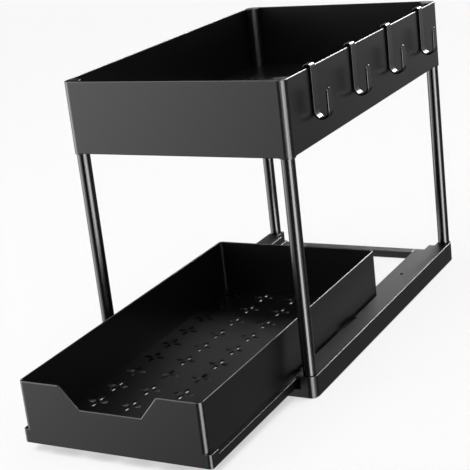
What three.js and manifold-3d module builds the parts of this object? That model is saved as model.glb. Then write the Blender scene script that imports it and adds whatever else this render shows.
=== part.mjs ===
// Two-tier pull-out spice rack: a tray on four posts over a base whose rails guide a drawer.
// Millimetres, +Z up, +Y to the back, the drawer pulled out towards -Y as it stands in use.

import * as THREE from 'three';
import { mergeGeometries, mergeVertices } from 'three/addons/utils/BufferGeometryUtils.js';
import Module from 'manifold-3d';

const wasm = await Module();
wasm.setup();

// Posts
const POST_X = 111.7;            // half the distance between the left and right posts
const POST_Y = 192;              // half the distance between the front and rear posts
const POST_RADIUS = 6.5;
const POST_WALL = 1;
const SOCKET_RADIUS = POST_RADIUS + 0.3;

// Base
const BASE_EDGE = 8.2;           // from a post's axis to the outer face of the base
const BASE_HALF_WIDTH = POST_X + BASE_EDGE;
const BASE_HALF_DEPTH = POST_Y + BASE_EDGE;
const BASE_BOTTOM = 0.7;         // the pads carry the base this far off the shelf
const LEDGE_TOP = 9.2;           // the drawer slides on this ledge
const LEDGE_THICKNESS = 3;
const WINDOW_HALF_WIDTH = 72;    // the opening in the floor of the base
const PLATE_TOP = 22.6;          // the plate that holds the drawer's flanges down
const PLATE_THICKNESS = 2.4;
const PLATE_INNER = 97.4;
const PLATE_END = 104.3;         // behind its step the plate's inner edge lies here
const PLATE_STEP = 180;
const PLATE_SLOT_X = 100;        // small oblong hole in the plate
const PLATE_SLOT_Y = 81;
const PLATE_SLOT_HALF_WIDTH = 1.9;
const PLATE_SLOT_HALF_DEPTH = 3;
const PLATE_SLOT_CORNER = 1.5;
const END_BLOCK_INNER = 100;     // solid block that closes the channel round the rear post
const END_BLOCK_FRONT = 150;
const EAR_RECESS = 99.9;         // the plate stops here where the closed drawer's ear stands
const FITTING_NOTCH = 100.5;     // notch in the plate's edge beside the drawer's stop lug
const FITTING_NOTCH_FRONT = -80;
const FITTING_NOTCH_REAR = -50;
const RAIL_WALL = 2.2;
const SOCKET_FLOOR = 4;
const BOSS_RADIUS = 8.7;
const BAR_DEPTH = 12.5;          // front to back size of a crossbar
const TONGUE_TOP = LEDGE_TOP - LEDGE_THICKNESS - 0.3;
const TONGUE_END = 90;
const TONGUE_SETBACK = 2.5;      // from the faces of the bar to those of its tongues
const SCREW_X = 82;
const SCREW_Y = 193.8;

// Pads
const PAD_RADIUS = 7;
const PAD_THICKNESS = 1.5;

// Upper tray
const TRAY_EDGE = 7.8;           // from a post's axis to the outer face of the tray
const TRAY_HALF_WIDTH = POST_X + TRAY_EDGE;
const TRAY_HALF_DEPTH = POST_Y + TRAY_EDGE;
const TRAY_BOTTOM = 237.2;
const TRAY_RIM = 308.9;
const TRAY_WALL = 2;
const COLUMN_RADIUS = 8.2;
const COLUMN_BOTTOM = TRAY_BOTTOM - 1;
const COLUMN_CAP = 2;

// Drawer, in its pulled-out place
const DRAWER_HALF_WIDTH = 95.6;
const DRAWER_FRONT = -366.6;
const DRAWER_REAR = 22.2;
const DRAWER_BOTTOM = 9.5;
const DRAWER_RIM = 71.4;
const DRAWER_WALL = 2;
const DRAWER_CORNER = 5.5;
const DRAWER_FLOOR = 12.5;
const FLOOR_THICKNESS = 2.4;
const FLANGE_EDGE = 99.2;
const FLANGE_TOP = 18.7;
const EAR_DEPTH = 14;
const EAR_TOP = 23;
const EAR_CORNER = 4;
const LUG_EDGE = 108;
const LUG_FRONT = -82.6;
const LUG_LENGTH = 10;
const NOTCH_TOP_HALF = 51;
const NOTCH_BOTTOM_HALF = 32.5;
const NOTCH_BOTTOM = 49.5;
const FLOWER_COLUMNS = 5;
const FLOWER_ROWS = 11;
const FLOWER_PITCH_X = 38;
const FLOWER_PITCH_Y = 35.6;
const PETAL_OFFSET = 6.9;        // from a flower's centre to a petal's centre
const PETAL_LONG = 4.6;
const PETAL_SHORT = 2.75;

// Hooks
const HOOK_COUNT = 4;
const HOOK_PITCH = 94.8;
const HOOK_WIDTH = 10;
const HOOK_THICKNESS = 2;
const HOOK_GAP = 0.3;            // between the strap and the tray's outer face
const HOOK_SLACK = 2.1;          // between the lip and the tray's inner face
const HOOK_CROWN = 1.1;          // from the rim up to the underside of the arch
const HOOK_ARCH = 1.3;           // inner radius of the arch's corners
const HOOK_LIP = 9;              // how far the lip reaches down inside the tray
const HOOK_DROP = 41;            // from the rim to the middle of the bend
const HOOK_BEND = 6.2;           // inner radius of the bend
const HOOK_TIP = 19.3;           // from the rim down to the tip

const ROUND = 32;                // sides of the posts and their sockets

// A closed solid for cutting and joining, from a three.js geometry.
function solid(geometry) {
  const plain = geometry.clone();
  plain.deleteAttribute('normal');
  plain.deleteAttribute('uv');
  const welded = mergeVertices(plain, 1e-4);
  const vertProperties = new Float32Array(welded.attributes.position.array);
  const triVerts = new Uint32Array(welded.index.array);
  return new wasm.Manifold(new wasm.Mesh({ numProp: 3, vertProperties, triVerts }));
}

// A three.js geometry with flat shading, from a closed solid.
function geometryOf(body) {
  const mesh = body.getMesh();
  const geometry = new THREE.BufferGeometry();
  geometry.setAttribute('position', new THREE.BufferAttribute(new Float32Array(mesh.vertProperties), 3));
  geometry.setIndex(new THREE.BufferAttribute(new Uint32Array(mesh.triVerts), 1));
  geometry.computeVertexNormals();
  return geometry;
}

function joined(parts) {
  return parts.reduce((sum, part) => sum.add(part));
}

function cut(body, tools) {
  return tools.reduce((rest, tool) => rest.subtract(tool), body);
}

function box(x0, x1, y0, y1, z0, z1) {
  const geometry = new THREE.BoxGeometry(Math.abs(x1 - x0), Math.abs(y1 - y0), Math.abs(z1 - z0));
  geometry.translate((x0 + x1) / 2, (y0 + y1) / 2, (z0 + z1) / 2);
  return solid(geometry);
}

function cylinder(radius, x, y, z0, z1, sides = ROUND) {
  const geometry = new THREE.CylinderGeometry(radius, radius, z1 - z0, sides);
  geometry.rotateX(Math.PI / 2);
  geometry.translate(x, y, (z0 + z1) / 2);
  return solid(geometry);
}

// A flat outline raised from z0 to z1.
function raised(shape, z0, z1) {
  const depth = z1 - z0;
  const geometry = new THREE.ExtrudeGeometry(shape, { depth, bevelEnabled: false, curveSegments: 4 });
  geometry.translate(0, 0, z0);
  return geometry;
}

// An outline drawn in X and Z, run along Y from y0 to y1.
function alongY(shape, y0, y1, curveSegments = 8) {
  const geometry = new THREE.ExtrudeGeometry(shape, { depth: y1 - y0, bevelEnabled: false, curveSegments });
  geometry.rotateX(Math.PI / 2);
  geometry.translate(0, y1, 0);
  return geometry;
}

function polygon(points) {
  return new THREE.Shape(points.map(([x, y]) => new THREE.Vector2(x, y)));
}

function roundedRectangle(halfWidth, halfDepth, radius, centreY = 0) {
  const x = halfWidth - radius;
  const y = halfDepth - radius;
  const shape = new THREE.Shape();
  shape.absarc(x, centreY + y, radius, 0, Math.PI / 2);
  shape.absarc(-x, centreY + y, radius, Math.PI / 2, Math.PI);
  shape.absarc(-x, centreY - y, radius, Math.PI, 1.5 * Math.PI);
  shape.absarc(x, centreY - y, radius, 1.5 * Math.PI, 2 * Math.PI);
  shape.closePath();
  return shape;
}

// The tray's floor, walls and corner columns, with a blind socket up each column.
function trayGeometry() {
  const outline = roundedRectangle(TRAY_HALF_WIDTH, TRAY_HALF_DEPTH, TRAY_EDGE);
  const inside = roundedRectangle(TRAY_HALF_WIDTH - TRAY_WALL, TRAY_HALF_DEPTH - TRAY_WALL,
    TRAY_EDGE - TRAY_WALL);
  const shell = solid(raised(outline, TRAY_BOTTOM, TRAY_RIM))
    .subtract(solid(raised(inside, TRAY_BOTTOM + TRAY_WALL, TRAY_RIM + 1)));
  const columns = [];
  const sockets = [];
  for (const x of [-POST_X, POST_X]) {
    for (const y of [-POST_Y, POST_Y]) {
      columns.push(cylinder(COLUMN_RADIUS, x, y, COLUMN_BOTTOM, TRAY_RIM));
      sockets.push(cylinder(SOCKET_RADIUS, x, y, COLUMN_BOTTOM - 1, TRAY_RIM - COLUMN_CAP));
    }
  }
  const clipped = joined(columns).intersect(solid(raised(outline, COLUMN_BOTTOM, TRAY_RIM)));
  return geometryOf(cut(shell.add(clipped), sockets));
}

function postGeometry() {
  const ring = new THREE.Shape();
  ring.absarc(0, 0, POST_RADIUS, 0, 2 * Math.PI);
  const bore = new THREE.Path();
  bore.absarc(0, 0, POST_RADIUS - POST_WALL, 0, 2 * Math.PI);
  ring.holes.push(bore);
  const length = TRAY_RIM - COLUMN_CAP - 0.3 - (SOCKET_FLOOR + 0.3);
  return new THREE.ExtrudeGeometry(ring, { depth: length, bevelEnabled: false, curveSegments: ROUND / 2 });
}

// One side of the base; side is 1 for the right rail and -1 for the left.
function railGeometry(side) {
  const under = LEDGE_TOP - LEDGE_THICKNESS;
  const wallInner = BASE_HALF_WIDTH - RAIL_WALL;
  const plateUnder = PLATE_TOP - PLATE_THICKNESS;
  const section = polygon([
    [BASE_HALF_WIDTH, BASE_BOTTOM],
    [BASE_HALF_WIDTH, PLATE_TOP],
    [PLATE_INNER, PLATE_TOP],
    [PLATE_INNER, plateUnder],
    [wallInner, plateUnder],
    [wallInner, LEDGE_TOP],
    [WINDOW_HALF_WIDTH, LEDGE_TOP],
    [WINDOW_HALF_WIDTH, BASE_BOTTOM],
    [WINDOW_HALF_WIDTH + RAIL_WALL, BASE_BOTTOM],
    [WINDOW_HALF_WIDTH + RAIL_WALL, under],
    [wallInner, under],
    [wallInner, BASE_BOTTOM],
  ].map(([x, z]) => [side * x, z]));
  const parts = [solid(alongY(section, -BASE_HALF_DEPTH, BASE_HALF_DEPTH))];
  const tools = [];
  for (const end of [-1, 1]) {
    const face = end * BASE_HALF_DEPTH;
    const inner = face - end * RAIL_WALL;
    parts.push(box(side * PLATE_END, side * BASE_HALF_WIDTH, inner, face, BASE_BOTTOM, PLATE_TOP));
    parts.push(box(side * WINDOW_HALF_WIDTH, side * BASE_HALF_WIDTH, inner, face, BASE_BOTTOM, LEDGE_TOP));
    parts.push(cylinder(BOSS_RADIUS, side * POST_X, end * POST_Y, BASE_BOTTOM, PLATE_TOP));
    tools.push(cylinder(SOCKET_RADIUS, side * POST_X, end * POST_Y, SOCKET_FLOOR, PLATE_TOP + 1));
    tools.push(cylinder(PAD_RADIUS + 0.3, side * POST_X, end * POST_Y, 0, PAD_THICKNESS + 0.3, 24));
    const slotFront = end * (BASE_HALF_DEPTH - BAR_DEPTH + TONGUE_SETBACK - 0.3);
    const slotRear = end * (BASE_HALF_DEPTH - RAIL_WALL - 0.2);
    tools.push(box(side * (WINDOW_HALF_WIDTH - 1), side * (WINDOW_HALF_WIDTH + RAIL_WALL + 1),
      slotFront, slotRear, 0, under));
    tools.push(cylinder(1.8, side * SCREW_X, end * SCREW_Y, under - 1, under + 2, 16));
  }
  parts.push(box(side * END_BLOCK_INNER, side * (wallInner + 1), END_BLOCK_FRONT, BASE_HALF_DEPTH - 1,
    LEDGE_TOP - 1, plateUnder + 1));
  // Room for the closed drawer's ear at the front, a fitting notch, a small slot and the plate's rear step.
  const recessRear = -BASE_HALF_DEPTH + EAR_DEPTH + 0.7;
  tools.push(box(side * 90, side * EAR_RECESS, -BASE_HALF_DEPTH - 5, recessRear, 15, 30));
  tools.push(box(side * 90, side * FITTING_NOTCH, FITTING_NOTCH_FRONT, FITTING_NOTCH_REAR, 15, 30));
  const slot = raised(roundedRectangle(PLATE_SLOT_HALF_WIDTH, PLATE_SLOT_HALF_DEPTH, PLATE_SLOT_CORNER,
    PLATE_SLOT_Y), plateUnder - 1, PLATE_TOP + 1);
  slot.translate(side * PLATE_SLOT_X, 0, 0);
  tools.push(solid(slot));
  tools.push(box(side * 90, side * PLATE_END, PLATE_STEP, BASE_HALF_DEPTH + 5, LEDGE_TOP + 2, 30));
  const outline = roundedRectangle(BASE_HALF_WIDTH, BASE_HALF_DEPTH, BASE_EDGE);
  const whole = joined(parts).intersect(solid(raised(outline, 0, PLATE_TOP + 5)));
  return geometryOf(cut(whole, tools));
}

// A crossbar lying along X, open below, with a tongue at each end that goes under the rails' ledges.
function crossbarGeometry() {
  const half = WINDOW_HALF_WIDTH - 0.3;
  const depth = BAR_DEPTH / 2;
  const body = box(-half, half, -depth, depth, BASE_BOTTOM, LEDGE_TOP);
  const hollow = box(-half + 2, half - 2, -depth + 2, depth - 2, 0, LEDGE_TOP - 2.4);
  let bar = body.subtract(hollow);
  for (const side of [-1, 1]) {
    const tongue = box(side * (half - 6), side * TONGUE_END, -depth + TONGUE_SETBACK,
      depth - TONGUE_SETBACK - 0.2, BASE_BOTTOM + 0.3, TONGUE_TOP);
    const screwY = SCREW_Y - (BASE_HALF_DEPTH - depth);
    bar = bar.add(tongue);
    bar = bar.subtract(cylinder(1.8, side * SCREW_X, screwY, 0, TONGUE_TOP + 1, 16));
    bar = bar.subtract(cylinder(3.3, side * SCREW_X, screwY, 0, 3.2, 16));
  }
  return geometryOf(bar);
}

// A short pan-head screw standing head down, with a socket in its head.
function screwGeometry() {
  const profile = [
    [0, 2.2],
    [1.1, 2.2],
    [1.1, 1.2],
    [2.6, 1.2],
    [3, 1.6],
    [3, 2.9],
    [1.5, 2.9],
    [1.5, 7.4],
    [1, 7.9],
    [0, 7.9],
  ];
  const geometry = new THREE.LatheGeometry(profile.map(([r, z]) => new THREE.Vector2(r, z)), 12);
  geometry.rotateX(Math.PI / 2);
  return geometryOf(solid(geometry));
}

function padGeometry() {
  const geometry = new THREE.CylinderGeometry(PAD_RADIUS, PAD_RADIUS, PAD_THICKNESS, 24);
  geometry.rotateX(Math.PI / 2);
  return geometry;
}

// All petals of the drawer floor as one set of upright prisms.
function petalPrisms(centreY) {
  const prisms = [];
  for (let column = 0; column < FLOWER_COLUMNS; column += 1) {
    for (let row = 0; row < FLOWER_ROWS; row += 1) {
      const x = (column - (FLOWER_COLUMNS - 1) / 2) * FLOWER_PITCH_X;
      const y = centreY + (row - (FLOWER_ROWS - 1) / 2) * FLOWER_PITCH_Y;
      for (let petal = 0; petal < 4; petal += 1) {
        const turn = petal * Math.PI / 2;
        const geometry = new THREE.CylinderGeometry(1, 1, 5, 6);
        geometry.rotateX(Math.PI / 2);
        geometry.rotateZ(Math.PI / 2);
        geometry.scale(PETAL_LONG, PETAL_SHORT, 1);
        geometry.rotateZ(turn);
        const petalX = x + PETAL_OFFSET * Math.cos(turn);
        const petalY = y + PETAL_OFFSET * Math.sin(turn);
        geometry.translate(petalX, petalY, DRAWER_FLOOR - 1);
        prisms.push(geometry);
      }
    }
  }
  return solid(mergeGeometries(prisms));
}

// The plan of an ear, flush with the drawer's front and rounded at its outer corner.
function earOutline(side) {
  const inner = DRAWER_HALF_WIDTH - DRAWER_CORNER - 1;
  const points = [[inner, DRAWER_FRONT + EAR_DEPTH], [inner, DRAWER_FRONT]];
  for (let step = 0; step <= 4; step += 1) {
    const angle = (step / 4 - 1) * Math.PI / 2;
    points.push([FLANGE_EDGE + EAR_CORNER * (Math.cos(angle) - 1),
      DRAWER_FRONT + EAR_CORNER * (Math.sin(angle) + 1)]);
  }
  points.push([FLANGE_EDGE, DRAWER_FRONT + EAR_DEPTH]);
  return points.map(([x, y]) => [side * x, y]);
}

// The drawer's tub with its flanges, ears and stop lugs.
function drawerGeometry() {
  const centreY = (DRAWER_FRONT + DRAWER_REAR) / 2;
  const halfDepth = (DRAWER_REAR - DRAWER_FRONT) / 2;
  const outline = roundedRectangle(DRAWER_HALF_WIDTH, halfDepth, DRAWER_CORNER, centreY);
  const inside = roundedRectangle(DRAWER_HALF_WIDTH - DRAWER_WALL, halfDepth - DRAWER_WALL,
    DRAWER_CORNER - DRAWER_WALL, centreY);
  const parts = [solid(raised(outline, DRAWER_BOTTOM, DRAWER_RIM))];
  const tools = [
    solid(raised(inside, DRAWER_FLOOR, DRAWER_RIM + 1)),
    solid(raised(inside, DRAWER_BOTTOM - 1, DRAWER_FLOOR - FLOOR_THICKNESS)),
  ];
  const slope = (NOTCH_TOP_HALF - NOTCH_BOTTOM_HALF) / (DRAWER_RIM - NOTCH_BOTTOM);
  const over = NOTCH_TOP_HALF + 4 * slope;
  const notch = polygon([
    [-over, DRAWER_RIM + 4],
    [-NOTCH_BOTTOM_HALF, NOTCH_BOTTOM],
    [NOTCH_BOTTOM_HALF, NOTCH_BOTTOM],
    [over, DRAWER_RIM + 4],
  ]);
  tools.push(solid(alongY(notch, DRAWER_FRONT - 3, DRAWER_FRONT + 6)));
  for (const side of [-1, 1]) {
    const wall = side * (DRAWER_HALF_WIDTH - 1);
    const edge = side * FLANGE_EDGE;
    const lugRear = LUG_FRONT + LUG_LENGTH;
    parts.push(box(wall, edge, DRAWER_FRONT + 6, DRAWER_REAR - DRAWER_CORNER, DRAWER_BOTTOM, FLANGE_TOP));
    parts.push(box(edge - side, side * LUG_EDGE, LUG_FRONT, lugRear, DRAWER_BOTTOM, FLANGE_TOP));
    parts.push(solid(raised(polygon(earOutline(side)), DRAWER_BOTTOM, EAR_TOP)));
  }
  return geometryOf(cut(joined(parts), [...tools, petalPrisms(centreY)]));
}

// A J hook drawn from the tray's outer face and rim, with its width along Y.
function hookGeometry() {
  const t = HOOK_THICKNESS;
  const g = HOOK_GAP;
  const lip = -TRAY_WALL - HOOK_SLACK;
  const spring = HOOK_CROWN - HOOK_ARCH;
  const centre = g + t + HOOK_BEND;
  const prong = centre + HOOK_BEND;
  const shape = new THREE.Shape();
  shape.moveTo(lip - t, -HOOK_LIP);
  shape.lineTo(lip - t, spring);
  shape.absarc(lip + HOOK_ARCH, spring, HOOK_ARCH + t, Math.PI, Math.PI / 2, true);
  shape.lineTo(g - HOOK_ARCH, HOOK_CROWN + t);
  shape.absarc(g - HOOK_ARCH, spring, HOOK_ARCH + t, Math.PI / 2, 0, true);
  shape.lineTo(g + t, -HOOK_DROP);
  shape.absarc(centre, -HOOK_DROP, HOOK_BEND, Math.PI, 2 * Math.PI, false);
  shape.lineTo(prong, -HOOK_TIP - t / 2);
  shape.absarc(prong + t / 2, -HOOK_TIP - t / 2, t / 2, Math.PI, 0, true);
  shape.lineTo(prong + t, -HOOK_DROP);
  shape.absarc(centre, -HOOK_DROP, HOOK_BEND + t, 0, -Math.PI, true);
  shape.lineTo(g, spring);
  shape.absarc(g - HOOK_ARCH, spring, HOOK_ARCH, 0, Math.PI / 2, false);
  shape.lineTo(lip + HOOK_ARCH, HOOK_CROWN);
  shape.absarc(lip + HOOK_ARCH, spring, HOOK_ARCH, Math.PI / 2, Math.PI, false);
  shape.lineTo(lip, -HOOK_LIP);
  shape.closePath();
  return alongY(shape, -HOOK_WIDTH / 2, HOOK_WIDTH / 2, 5);
}

function black(colour, roughness) {
  return new THREE.MeshStandardMaterial({ color: colour, roughness, metalness: 0 });
}

function piece(name, geometry, material, x = 0, y = 0, z = 0) {
  const mesh = new THREE.Mesh(geometry, material);
  mesh.name = name;
  mesh.position.set(x, y, z);
  return mesh;
}

const CORNERS = [
  ['front_left', -1, -1],
  ['front_right', 1, -1],
  ['rear_left', -1, 1],
  ['rear_right', 1, 1],
];

const base = new THREE.Group();
base.name = 'base';
base.add(piece('left_rail', railGeometry(-1), black(0x1c1c1d, 0.45)));
base.add(piece('right_rail', railGeometry(1), black(0x1c1c1d, 0.45)));
const barY = BASE_HALF_DEPTH - BAR_DEPTH / 2;
const frontBar = piece('front_crossbar', crossbarGeometry(), black(0x1c1c1d, 0.45), 0, -barY, 0);
frontBar.rotation.z = Math.PI;
base.add(frontBar);
base.add(piece('rear_crossbar', crossbarGeometry(), black(0x1c1c1d, 0.45), 0, barY, 0));
for (const [place, sx, sy] of CORNERS) {
  const steel = new THREE.MeshStandardMaterial({ color: 0x8d9196, roughness: 0.35, metalness: 1 });
  base.add(piece(`crossbar_screw_${place}`, screwGeometry(), steel, sx * SCREW_X, sy * SCREW_Y, 0));
  const rubber = black(0x101010, 0.95);
  base.add(piece(`foot_pad_${place}`, padGeometry(), rubber, sx * POST_X, sy * POST_Y, PAD_THICKNESS / 2));
}

const upper = new THREE.Group();
upper.name = 'upper';
upper.add(piece('upper_tray', trayGeometry(), black(0x1a1a1b, 0.45)));
for (const [place, sx, sy] of CORNERS) {
  const gloss = black(0x131315, 0.2);
  upper.add(piece(`post_${place}`, postGeometry(), gloss, sx * POST_X, sy * POST_Y, SOCKET_FLOOR + 0.3));
}

const hooks = new THREE.Group();
hooks.name = 'hooks';
hooks.position.set(TRAY_HALF_WIDTH, 0, TRAY_RIM);
for (let index = 0; index < HOOK_COUNT; index += 1) {
  const y = (index - (HOOK_COUNT - 1) / 2) * HOOK_PITCH;
  hooks.add(piece(`hook_${index + 1}`, hookGeometry(), black(0x161617, 0.3), 0, y, 0));
}

const drawer = piece('drawer', drawerGeometry(), black(0x1a1a1b, 0.45));

// The origin is on the shelf under the middle of the whole rack as it stands.
const hookReach = TRAY_HALF_WIDTH + HOOK_GAP + 2 * (HOOK_THICKNESS + HOOK_BEND);
const group = new THREE.Group();
group.name = 'spice_rack';
group.add(base, upper, hooks, drawer);
group.position.set((BASE_HALF_WIDTH - hookReach) / 2, -(BASE_HALF_DEPTH + DRAWER_FRONT) / 2, 0);

export default group;
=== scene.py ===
"""Two-tier pull-out spice rack: a tray on four posts, a base with rails, a pierced drawer and rim hooks."""

import math
from contextlib import contextmanager

import bmesh
import bpy
from bpy.props import FloatProperty, FloatVectorProperty, IntProperty, PointerProperty
from mathutils import Matrix, Vector


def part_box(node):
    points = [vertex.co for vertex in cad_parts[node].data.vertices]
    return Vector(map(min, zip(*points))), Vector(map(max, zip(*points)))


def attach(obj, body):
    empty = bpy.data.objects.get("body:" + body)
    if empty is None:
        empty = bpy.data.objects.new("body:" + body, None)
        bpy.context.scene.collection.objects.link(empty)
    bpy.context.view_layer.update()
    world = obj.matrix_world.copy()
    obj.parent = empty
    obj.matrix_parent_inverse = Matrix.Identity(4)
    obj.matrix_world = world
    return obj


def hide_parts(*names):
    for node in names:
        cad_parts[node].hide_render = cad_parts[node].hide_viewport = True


bl_info = {
    "name": "Pull-out spice rack",
    "version": (1, 0, 0),
    "blender": (4, 5, 0),
    "location": "3D View > Sidebar > Spice Rack",
    "description": "Builds a two-tier rack with a pull-out drawer and rim hooks over its packed solids",
    "category": "Object",
}

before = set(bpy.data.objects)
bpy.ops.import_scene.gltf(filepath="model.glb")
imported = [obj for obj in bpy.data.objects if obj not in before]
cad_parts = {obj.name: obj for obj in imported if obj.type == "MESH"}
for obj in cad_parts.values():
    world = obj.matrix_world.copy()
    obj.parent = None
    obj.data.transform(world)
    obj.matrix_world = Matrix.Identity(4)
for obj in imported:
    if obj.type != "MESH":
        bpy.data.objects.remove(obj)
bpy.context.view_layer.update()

CORNERS = ("front_left", "front_right", "rear_left", "rear_right")
POSTS = tuple(f"post_{corner}" for corner in CORNERS)
PADS = tuple(f"foot_pad_{corner}" for corner in CORNERS)
SCREWS = tuple(f"crossbar_screw_{corner}" for corner in CORNERS)
HOOKS = ("hook_1", "hook_2", "hook_3", "hook_4")

OVERSHOOT = 0.01            # how far a cutting tool stands out past the part that it cuts
LAP = 0.001                 # how far joined parts reach into each other, and small tools past what they cut
QUARTERS = ((1, 1), (-1, 1), (-1, -1), (1, -1))


def centre_of(node):
    low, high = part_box(node)
    return (low + high) / 2


POST_PLACES = [centre_of(post) for post in POSTS]
RACK_X = sum(place.x for place in POST_PLACES) / 4
RACK_Y = sum(place.y for place in POST_PLACES) / 4
POST_X = POST_PLACES[1].x - RACK_X
POST_Y = POST_PLACES[2].y - RACK_Y
TRAY_LOW, TRAY_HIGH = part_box("upper_tray")
RAIL_LOW, RAIL_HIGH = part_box("right_rail")
DRAWER_LOW, DRAWER_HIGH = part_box("drawer")


# Settings that a user would change

def length(name, description, default):
    return FloatProperty(name=name, description=description, default=default, min=0.0,
                         subtype="DISTANCE", unit="LENGTH", precision=4)


def colour(name, description, default):
    return FloatVectorProperty(name=name, description=description, default=default, size=3,
                               min=0.0, max=1.0, subtype="COLOR")


def share(name, description, default):
    return FloatProperty(name=name, description=description, default=default, min=0.0, max=1.0,
                         subtype="FACTOR")


def angle(name, description, degrees):
    return FloatProperty(name=name, description=description, default=math.radians(degrees),
                         subtype="ANGLE", unit="ROTATION")


class TraySizes(bpy.types.PropertyGroup):
    """Sizes of the upper tray"""

    wall: length("Wall", "Thickness of the tray's walls and floor", 0.002)
    column: length("Column", "Radius of the round column in each corner", 0.0082)
    sleeve: length("Sleeve", "How far the post sleeves stand below the tray", 0.001)
    cap: length("Cap", "Thickness of the flat top of a column", 0.002)
    edge: length("Edge", "Rounding of the tray's lower edges", 0.0008)
    rim: length("Rim", "Rounding of the rim's outer edge", 0.0009)
    rim_inner: length("Inner rim", "Rounding of the rim's inner edge", 0.0004)


class PostSizes(bpy.types.PropertyGroup):
    """Sizes of the posts"""

    radius: length("Radius", "Outer radius of a post", (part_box(POSTS[0])[1].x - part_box(POSTS[0])[0].x) / 2)
    wall: length("Wall", "Thickness of a post's tube", 0.001)
    play: length("Play", "Gap between a post and its socket", 0.0003)


class BaseSizes(bpy.types.PropertyGroup):
    """Sizes of the rails and crossbars"""

    wall: length("Wall", "Thickness of the rails' walls", 0.0022)
    ledge_top: length("Ledge height", "Height of the ledge that carries the drawer", 0.0092)
    ledge: length("Ledge", "Thickness of the ledge", 0.003)
    plate: length("Plate", "Thickness of the rails' top plates", 0.0024)
    window: length("Window", "Half the width of the opening in the base", 0.072)
    plate_inner: length("Plate edge", "From the middle to the inner edge of a top plate", 0.0974)
    plate_end: length("Plate end", "From the middle to the plate's inner edge behind its step", 0.1043)
    plate_step: length("Plate step", "From the middle back to the step in a top plate", 0.18)
    block_inner: length("Block edge", "From the middle to the block round a rear post", 0.1)
    block_front: length("Block front", "From the middle back to the front of that block", 0.15)
    slot_x: length("Slot place", "From the middle to the small slot in a top plate", 0.1)
    slot_y: length("Slot setback", "From the middle back to the small slot", 0.081)
    slot_width: length("Slot width", "Half the width of the small slot", 0.0019)
    slot_depth: length("Slot depth", "Half the front to back size of the small slot", 0.003)
    boss: length("Boss", "Radius of the post bosses", 0.0087)
    edge: length("Edge", "Rounding of the rails' small edges", 0.0004)
    rim: length("Rim", "Rounding of the rails' outer top edge", 0.0005)
    socket_edge: length("Socket edge", "Rounding of the edges round a post", 0.00045)
    fine_edge: length("Fine edge", "Rounding of the edges of small steps and holes", 0.0001)


class DrawerSizes(bpy.types.PropertyGroup):
    """Sizes of the drawer"""

    half_width: length("Half width", "Half the outer width of the drawer's tub", 0.0956)
    wall: length("Wall", "Thickness of the drawer's walls", 0.002)
    corner: length("Corner", "Outer radius of the upright corners", 0.0055)
    floor_top: length("Floor", "Height of the drawer's floor", 0.0125)
    floor: length("Floor thickness", "Thickness of the drawer's floor", 0.0024)
    notch_top: length("Notch top", "Half the width of the finger notch at the rim", 0.051)
    notch_bottom: length("Notch bottom", "Half the width of the finger notch at its foot", 0.0325)
    notch_height: length("Notch height", "Height of the foot of the finger notch", 0.0495)
    flange: length("Flange", "From the middle to the edge of the side flanges", 0.0992)
    flange_top: length("Flange height", "Height of the side flanges", 0.0187)
    ear_depth: length("Ear depth", "Front to back size of the ears", 0.014)
    ear_top: length("Ear height", "Height of the ears", 0.023)
    ear_corner: length("Ear corner", "Radius of the ears' outer front corner", 0.004)
    lug_front: length("Lug place", "From the drawer's front to its stop lugs", 0.284)
    lug_depth: length("Lug depth", "Front to back size of the stop lugs", 0.01)
    edge: length("Edge", "Rounding of the drawer's small edges", 0.0006)
    rim: length("Rim", "Rounding of the rim's outer edge", 0.001)
    rim_inner: length("Inner rim", "Rounding of the rim's inner edge", 0.0004)
    columns: IntProperty(name="Flower columns", description="Flowers across the floor", default=5, min=1)
    rows: IntProperty(name="Flower rows", description="Flowers from front to back", default=11, min=1)
    pitch_x: length("Column pitch", "Distance between flower columns", 0.038)
    pitch_y: length("Row pitch", "Distance between flower rows", 0.0356)
    petal_offset: length("Petal offset", "From a flower's middle to a petal's middle", 0.0069)
    petal_long: length("Petal length", "Half the length of a petal", 0.0043)
    petal_short: length("Petal width", "Half the width of a petal", 0.0023)


class HookSizes(bpy.types.PropertyGroup):
    """Sizes of the J hooks"""

    thickness: length("Thickness", "Thickness of the hook's strap", 0.002)
    gap: length("Gap", "Gap between the strap and the tray's outer face", 0.0003)
    slack: length("Slack", "Gap between the lip and the tray's inner face", 0.0021)
    crown: length("Crown", "From the rim up to the underside of the arch", 0.0011)
    arch: length("Arch", "Inner radius of the arch's corners", 0.0013)
    lip: length("Lip", "How far the lip reaches down inside the tray", 0.009)
    drop: length("Drop", "From the rim to the middle of the bend", 0.041)
    bend: length("Bend", "Inner radius of the bend", 0.0062)
    tip: length("Tip", "From the rim down to the tip", 0.0193)
    tip_round: length("Tip rounding", "Rounding of the tip's corners", 0.0048)
    edge: length("Edge", "Rounding of the hook's edges", 0.00045)


class Finishes(bpy.types.PropertyGroup):
    """Colours and gloss of the rack"""

    tray: colour("Tray", "Colour of the tray's plastic", (0.0032, 0.0032, 0.0034))
    base: colour("Base", "Colour of the rails and crossbars", (0.0034, 0.0034, 0.0036))
    drawer: colour("Drawer", "Colour of the drawer's plastic", (0.0032, 0.0032, 0.0034))
    post: colour("Posts", "Colour of the posts", (0.003, 0.003, 0.0032))
    hook: colour("Hooks", "Colour of the hooks", (0.003, 0.003, 0.0032))
    pad: colour("Pads", "Colour of the rubber pads", (0.012, 0.012, 0.012))
    screw: colour("Screws", "Colour of the steel screws", (0.42, 0.43, 0.45))
    satin: share("Satin", "Roughness of the moulded plastic", 0.33)
    gloss: share("Gloss", "Roughness of the posts", 0.24)
    hook_gloss: share("Hook gloss", "Roughness of the hooks", 0.22)


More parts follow.
